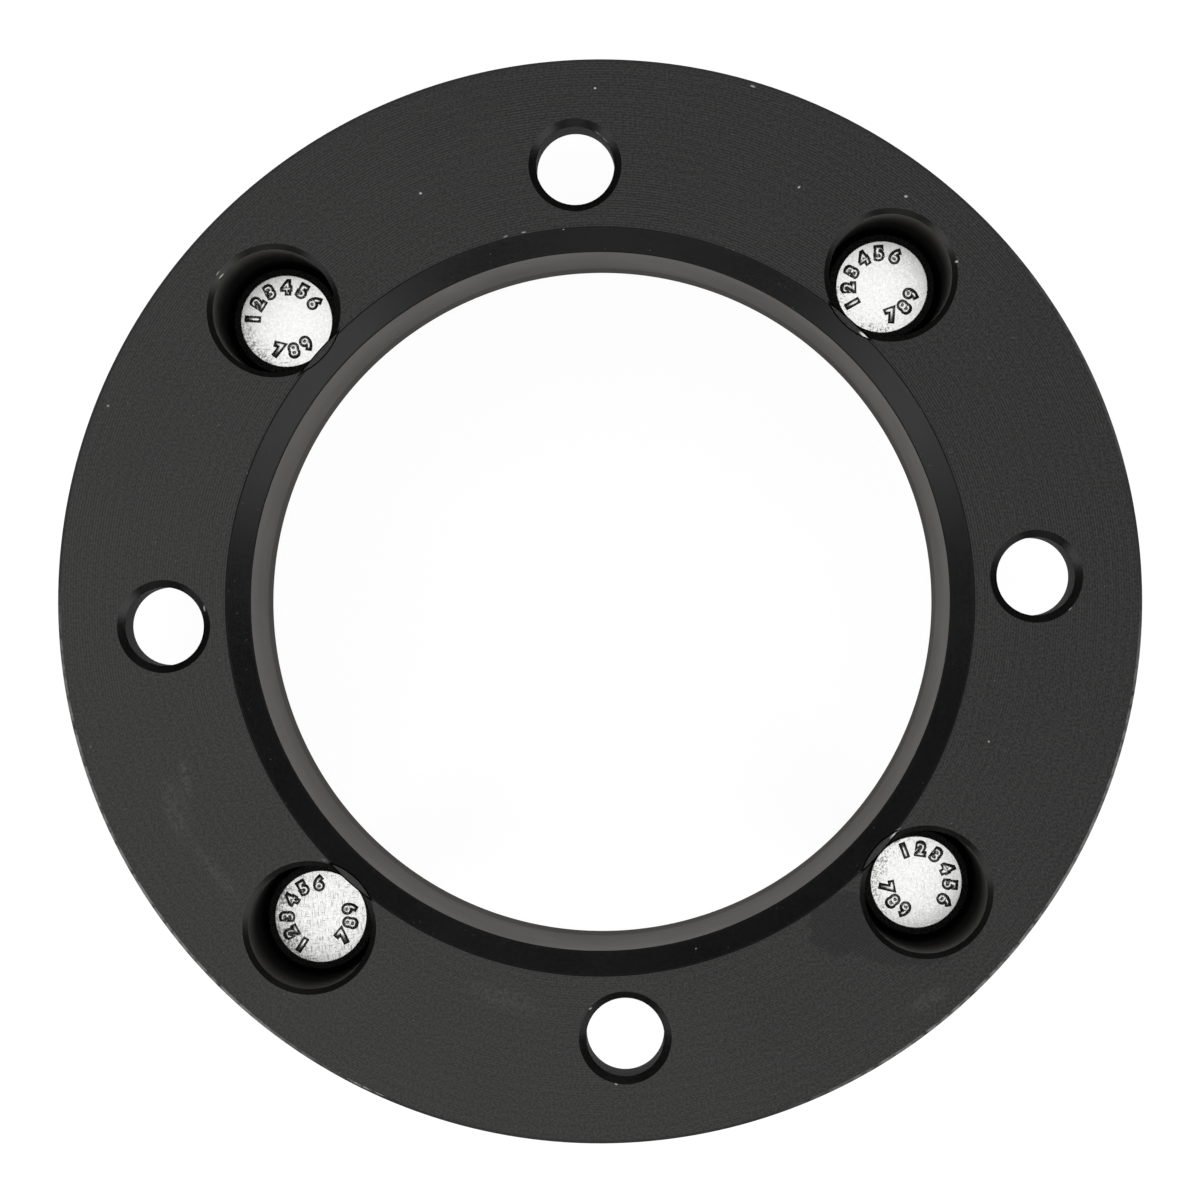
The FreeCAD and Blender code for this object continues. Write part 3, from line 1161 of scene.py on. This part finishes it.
    def build(self, number: int, place: Matrix, blank: bpy.types.Mesh, digits: RaisedDigits,
              glyphs: dict[str, bpy.types.Mesh], rows: tuple[float, float],
              materials: Sequence[bpy.types.Material]) -> bpy.types.Object:
        """Build one stud.

        Args:
            number: Which one, from 1.
            place: Where the middle of its seat is.
            blank: The stud without its digits.
            digits: The numbers on its head.
            glyphs: The mesh of each digit.
            rows: Directions of the long and the short row of digits, in degrees.
            materials: One for the head and one for the shank.

        Returns:
            The piece.
        """
        mesh = Mesh()
        mesh.bm.from_mesh(blank)
        for face in mesh.bm.faces:
            face.tag = True
        digits.stamp(mesh, glyphs, 0, Matrix.Translation((0.0, 0.0, self.head_height * MM)), *rows)
        bmesh.ops.transform(mesh.bm, matrix=place, verts=mesh.bm.verts[:])
        piece = mesh.piece(f"stud_{number}", materials, Slot.STUD)
        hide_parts(f"wheel_stud_{number}")
        return piece


@dataclass(frozen=True)
class Softbox:
    """One flat studio lamp that looks at the ring.

    Args:
        name: The lamp's name.
        azimuth: Direction it stands in, in degrees from the right of the picture.
        elevation: Its height above the horizon in degrees.
        distance: From the ring in metres.
        width: Of its face in metres.
        height: Of its face in metres.
        brightness: Of its face, where 1 is as bright as a white card at the plain level.
    """

    name: str
    azimuth: float
    elevation: float
    distance: float
    width: float
    height: float
    brightness: float

    def build(self, roll: float) -> None:
        """Hang the lamp.

        Args:
            roll: How far the picture is turned from the ring's own axes, in radians.
        """
        data = bpy.data.lights.new(self.name, "AREA")
        data.shape = "RECTANGLE"
        data.size, data.size_y = self.width, self.height
        data.energy = self.brightness * math.pi * self.width * self.height
        lamp = shown(self.name, data)
        around, up = math.radians(self.azimuth) + roll, math.radians(self.elevation)
        back = Vector((math.cos(around) * math.cos(up), math.sin(around) * math.cos(up), math.sin(up)))
        lamp.location = back * self.distance
        lamp.rotation_euler = back.to_track_quat("Z", "Y").to_euler()


@dataclass
class Studio:
    """Floor, lamps, world and camera.

    Args:
        roll: How far the picture is turned from the ring's own axes, in degrees.
        eye_height: Of the camera above the hub face, in metres.
        eye_right: From the ring's axis to the camera, to the right of the picture, in metres.
        eye_down: The same, down the picture.
        lens: Focal length in millimetres.
        sensor: Width of the sensor in millimetres.
        shift: How far the frame is shifted across and up, as shares of its width.
        floor_size: Side of the floor in metres.
        floor_glow: Share of white that the floor shows by itself.
        floor_tone: What the lamps add to that.
        haze: Brightness of the world.
    """

    roll: float = -3.3
    eye_height: float = 0.533
    eye_right: float = 0.00554
    eye_down: float = 0.00127
    lens: float = 102.09
    sensor: float = 36.0
    shift: Point = (-0.02957, 0.0079)
    floor_size: float = 12.0
    floor_glow: float = 0.90
    floor_tone: float = 0.2
    haze: float = 0.07
    lamps: tuple[Softbox, ...] = (
        Softbox("overhead", 250.0, 82.0, 1.1, 2.8, 2.2, 1.08),
        Softbox("low_left", 213.0, 18.0, 1.0, 0.55, 0.5, 2.3),
        Softbox("low_front", 267.0, 18.0, 1.2, 0.7, 0.4, 0.9),
        Softbox("low_right", 324.0, 18.0, 1.0, 0.75, 0.5, 2.3),
        Softbox("behind", 78.0, 38.0, 1.2, 0.8, 0.5, 1.6),
    )

    def build_floor(self, low: float) -> None:
        """Lay the floor under the part.

        Args:
            low: Height of the part's lowest point in metres.
        """
        bm = bmesh.new()
        bmesh.ops.create_grid(bm, x_segments=1, y_segments=1, size=self.floor_size / 2,
                              matrix=Matrix.Translation((0.0, 0.0, low)))
        mesh = as_mesh(bm, "floor")
        material, tree = new_material("floor_paper", PAPER)
        path = tree.node("ShaderNodeLightPath", {}, {})
        seen = Value(tree, path.outputs["Is Camera Ray"])
        for ray in ("Is Glossy Ray", "Is Transmission Ray"):
            seen = seen.largest(Value(tree, path.outputs[ray]))
        paper = tree.node("ShaderNodeBsdfDiffuse", {}, {"Color": PAPER})
        shade = tree.node("ShaderNodeBsdfDiffuse", {}, {"Color": (self.floor_tone,) * 3})
        glow = tree.node("ShaderNodeEmission", {}, {"Color": WHITE, "Strength": self.floor_glow})
        white = tree.node("ShaderNodeAddShader", {}, {0: glow.outputs[0], 1: shade.outputs[0]})
        mixed = tree.node("ShaderNodeMixShader", {}, {0: seen, 1: paper.outputs[0], 2: white.outputs[0]})
        tree.node("ShaderNodeOutputMaterial", {}, {"Surface": mixed.outputs[0]})
        mesh.materials.append(material)
        shown("floor", mesh)

    def build_world(self) -> None:
        """Fill the room with a dim even light."""
        world = bpy.data.worlds.new("room")
        world.use_nodes = True
        bpy.context.scene.world = world
        tree = Tree(world.node_tree)
        back = tree.node("ShaderNodeBackground", {}, {"Color": WHITE, "Strength": self.haze})
        tree.node("ShaderNodeOutputWorld", {}, {"Surface": back.outputs[0]})

    def build_camera(self) -> None:
        """Set the camera straight above the hub face."""
        data = bpy.data.cameras.new("camera")
        data.sensor_width = self.sensor
        data.lens = self.lens
        data.shift_x, data.shift_y = self.shift
        camera = shown("camera", data)
        turn = Matrix.Rotation(math.radians(self.roll), 4, "Z")
        camera.location = turn @ Vector((self.eye_right, -self.eye_down, self.eye_height))
        camera.rotation_euler = turn.to_euler()
        bpy.context.scene.camera = camera

    def build(self, low: float) -> None:
        """Set up the whole studio.

        Args:
            low: Height of the floor in metres.
        """
        self.build_camera()
        self.build_floor(low)
        self.build_world()
        for lamp in self.lamps:
            lamp.build(math.radians(self.roll))
        bpy.context.scene.view_settings.view_transform = "Standard"


WIPED: tuple[Mark, ...] = (
    Mark(35.5, -52.6, 7.6, 6.2, 20.0, 1.0),
    Mark(43.0, -57.4, 11.0, 2.6, -10.0, 0.8),
)
FACE_MARKS: tuple[Mark, ...] = (
    Mark(-68.2, -28.9, 7.0, 2.6, 104.0, 0.022),
    Mark(-66.5, -23.5, 4.5, 1.2, 98.0, 0.026),
    Mark(-62.7, -38.7, 8.0, 1.5, 127.0, 0.022),
    Mark(-52.0, -56.5, 4.0, 2.0, 120.0, 0.020),
    Mark(47.8, -65.2, 5.0, 1.6, 26.0, 0.026),
    Mark(-18.4, -61.3, 9.0, 2.4, 158.0, 0.018),
    Mark(3.83, 80.29, 0.22, 0.20, 0.0, 0.85),
    Mark(-24.40, 65.42, 0.28, 0.26, 0.0, 0.6),
    Mark(51.47, 60.56, 0.38, 0.26, 174.0, 0.55),
    Mark(-1.84, -75.60, 0.36, 0.24, 155.0, 0.4),
    Mark(-75.17, 35.02, 0.28, 0.26, 0.0, 0.3),
    Mark(34.83, 62.97, 0.32, 0.22, 39.0, 0.5),
    Mark(73.30, -5.36, 0.55, 0.24, 34.0, 0.7),
    Mark(-56.75, 54.80, 0.60, 0.12, 49.0, 0.8),
    Mark(28.51, 79.17, 0.55, 0.22, 159.0, 0.4),
)
# Bright marks on the rims of the chamfers and in the top hub hole: a few nicks, mostly painted highlights
# (glints).
EDGE_NICKS_AND_GLINTS: tuple[Mark, ...] = (
    Mark(43.65, 39.25, 1.15, 0.30, 140.0, 1.0, 0.1),
    Mark(44.03, -38.94, 1.50, 0.26, 42.0, 0.6, 0.1),
    Mark(-45.39, -38.05, 0.90, 0.20, 147.0, 0.10, 0.1),
    Mark(-8.63, 58.40, 0.55, 0.14, 7.0, 0.4, 0.3),
    Mark(-11.50, 57.92, 0.55, 0.13, 15.0, 0.4, 0.3),
    Mark(-56.35, 54.35, 0.75, 0.13, 45.0, 0.7, 0.2),
    Mark(-62.00, 2.46, 0.60, 0.20, 95.0, 0.5, 0.3),
    Mark(58.83, 49.91, 0.36, 0.26, 0.0, 0.6, 0.3),
    Mark(-5.20, -63.60, 0.36, 0.20, 28.0, 0.5, 0.4),
    Mark(4.35, 72.85, 1.9, 0.13, 135.0, 0.30, 1.1),
)
# Painted highlights: a light line along the outer edge at the lower left.
RIM_HIGHLIGHT_MARKS: tuple[Mark, ...] = (
    Mark(-42.13, -73.30, 3.2, 0.30, 149.0, 0.35, 0.2),
    Mark(-38.90, -75.00, 1.2, 0.28, 154.0, 0.25, 0.2),
)
# One black anodise with colours set per zone for how light falls on it: the chamfers and lead-in are painted
# darker as painted shade, and the bore and pocket walls lighter as painted light.
RING_FINISHES: tuple[Anodised, ...] = (
    Anodised("turned_face", Lay.FACE, (0.003, 0.003, 0.003), (0.032, 0.032, 0.031), 0.46, 0.27, 0.42,
             0.0022, 0.014, side_light=0.15, wiped=WIPED, marks=FACE_MARKS + EDGE_NICKS_AND_GLINTS),
    Anodised("turned_rim", Lay.WALL, (0.003, 0.003, 0.003), (0.016, 0.016, 0.0155), 0.40, 0.17, 0.30,
             0.0016, marks=RIM_HIGHLIGHT_MARKS,
             rim_highlights=((207.0, 34.0, 0.36), (322.0, 38.0, 0.32), (24.0, 16.0, 0.10))),
    Anodised("turned_lead_in", Lay.WALL, (0.0005, 0.0006, 0.0008), (0.0034, 0.0036, 0.0040), 0.38, 0.41,
             0.30, 0.0014, 0.05, marks=EDGE_NICKS_AND_GLINTS, rolled=(0.12, 3.62)),
    Anodised("bored_wall", Lay.WALL, (0.014, 0.012, 0.009), (0.064, 0.054, 0.043), 0.52, 0.14, 0.5,
             0.002, tint=(1.0, 0.80, 0.60), depth_shade=0.4),
    Anodised("bored_wall_end", Lay.WALL, (0.009, 0.008, 0.006), (0.042, 0.036, 0.028), 0.58, 0.115, 0.5,
             0.002, tint=(1.0, 0.80, 0.60), depth_shade=0.4),
    Anodised("cut_chamfer", Lay.WALL, (0.0005, 0.0006, 0.0006), (0.0050, 0.0048, 0.0042), 0.34, 0.42,
             0.25, 0.0016, marks=EDGE_NICKS_AND_GLINTS),
    Anodised("drilled_hole", Lay.WALL, (0.002, 0.002, 0.002), (0.016, 0.015, 0.012), 0.60, 0.05, 0.25,
             0.002),
    Anodised("milled_pocket", Lay.WALL, (0.012, 0.012, 0.010), (0.110, 0.102, 0.080), 0.55, 0.16, 0.4,
             0.002, depth_shade=0.97, deep_end=13.0, glint_corners=(0.87,)),
)
SHANK_STEEL = Steel("shank_steel", (0.62, 0.62, 0.60), (0.30, 0.30, 0.29), 0.34, 0.5, 0.2, 0.004)


@dataclass(frozen=True)
class HeadLook:
    """How one stud was turned in its hole, and how worn its head is.

    Args:
        stud: Its number.
        long_row: Direction of the middle of the long row of digits, in degrees in the picture.
        short_row: The same for the short row.
        worn_side: The same for the dullest side of the flat.
        stain: Share of the flat that is dull.
        scratch: Strength of the scratches.
    """

    stud: int
    long_row: float
    short_row: float
    worn_side: float
    stain: float
    scratch: float

    def steel(self, centre: Point, roll: float) -> Steel:
        """Give the steel of this head, which stands at a centre in a picture with this roll in degrees."""
        return Steel(f"head_steel_{self.stud}", (0.95, 0.95, 0.94), (0.36, 0.36, 0.35), 0.30, self.stain,
                     self.scratch, 0.006, centre, self.worn_side + roll)


HEAD_LOOKS: tuple[HeadLook, ...] = (
    HeadLook(4, 39.0, 219.0, 165.0, 0.32, 0.45),
    HeadLook(1, 138.0, -42.0, 235.0, 0.30, 0.20),
    HeadLook(2, 105.0, -76.0, 215.0, 0.33, 0.15),
    HeadLook(3, 165.0, -12.0, 190.0, 0.42, 1.3),
)


def main() -> None:
    """Build the studio and the pieces in order."""
    logging.basicConfig(level=logging.INFO, format="%(asctime)s %(message)s")
    studio = Studio()
    studio.build(CAD_BOX[0].z)
    LOG.info("studio: %d lamps", len(studio.lamps))
    stud, digits = Stud(), RaisedDigits()
    glyphs, blank = digits.glyphs(), stud.blank()
    ring = Ring()
    piece = ring.build([finish.material() for finish in RING_FINISHES])
    LOG.info("%s: %d faces", piece.name, len(piece.data.polygons))
    shank = SHANK_STEEL.material()
    looks = {look.stud: look for look in HEAD_LOOKS}
    for number, centre in enumerate(ring.centres(45.0), start=1):
        look = looks[number]
        place = Matrix.Translation((centre[0] * MM, centre[1] * MM, (ring.floor - ring.thickness) * MM))
        steels = [look.steel(centre, studio.roll).material(), shank]
        turned = (look.long_row + studio.roll, look.short_row + studio.roll)
        piece = stud.build(number, place, blank, digits, glyphs, turned, steels)
        LOG.info("%s: %d faces", piece.name, len(piece.data.polygons))


if __name__ == "__main__":
    main()
